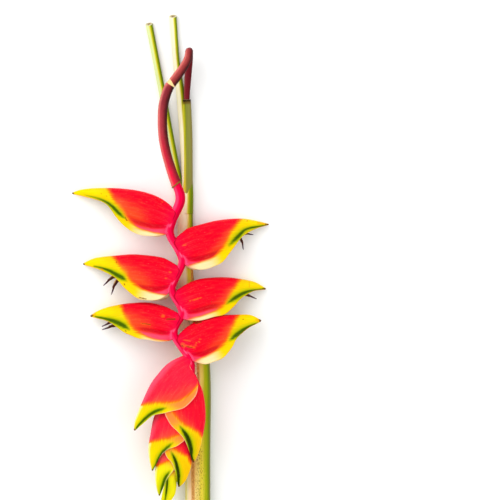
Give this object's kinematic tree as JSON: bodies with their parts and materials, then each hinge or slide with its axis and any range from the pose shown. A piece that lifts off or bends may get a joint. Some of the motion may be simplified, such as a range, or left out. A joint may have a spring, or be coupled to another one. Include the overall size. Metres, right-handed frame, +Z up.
{
  "type": "heliconia flower",
  "caption": "Hanging lobster-claw heliconia flower, cut and laid down: boat-shaped red bracts with yellow and green lips on a zigzag axis, a hooked bare stalk and a leafy stem",
  "frame": {"origin": "on the table, under the middle of the box around the whole part", "axes": "+Y runs along the stem from its cut end to the tops of the leaf stalks; +Z is up off the table; +X is to the right seen from above"},
  "size_m": [0.1741, 0.4664, 0.0462],
  "materials": {
    "stem_green": "smooth, satin, waxy plant skin",
    "peduncle_maroon": "matt, finely downy plant skin",
    "rachis_crimson": "satin, waxy plant skin",
    "bract_red": "smooth, satin, waxy plant skin",
    "dried_brown": "dull, dry"
  },
  "bodies": {
    "root": {"leaf_stem": "stem_green", "peduncle": "peduncle_maroon", "rachis": "rachis_crimson", "bract_01": "bract_red", "bract_02": "bract_red", "bract_03": "bract_red", "bract_04": "bract_red", "bract_05": "bract_red", "bract_06": "bract_red", "bract_07": "bract_red", "bract_08": "bract_red", "bract_09": "bract_red", "bract_10": "bract_red", "bract_11": "bract_red", "bract_12": "bract_red", "dried_flowers_02": "dried_brown", "dried_flowers_03": "dried_brown", "dried_flowers_04": "dried_brown", "dried_flowers_05": "dried_brown"}
  },
  "joints": []
}
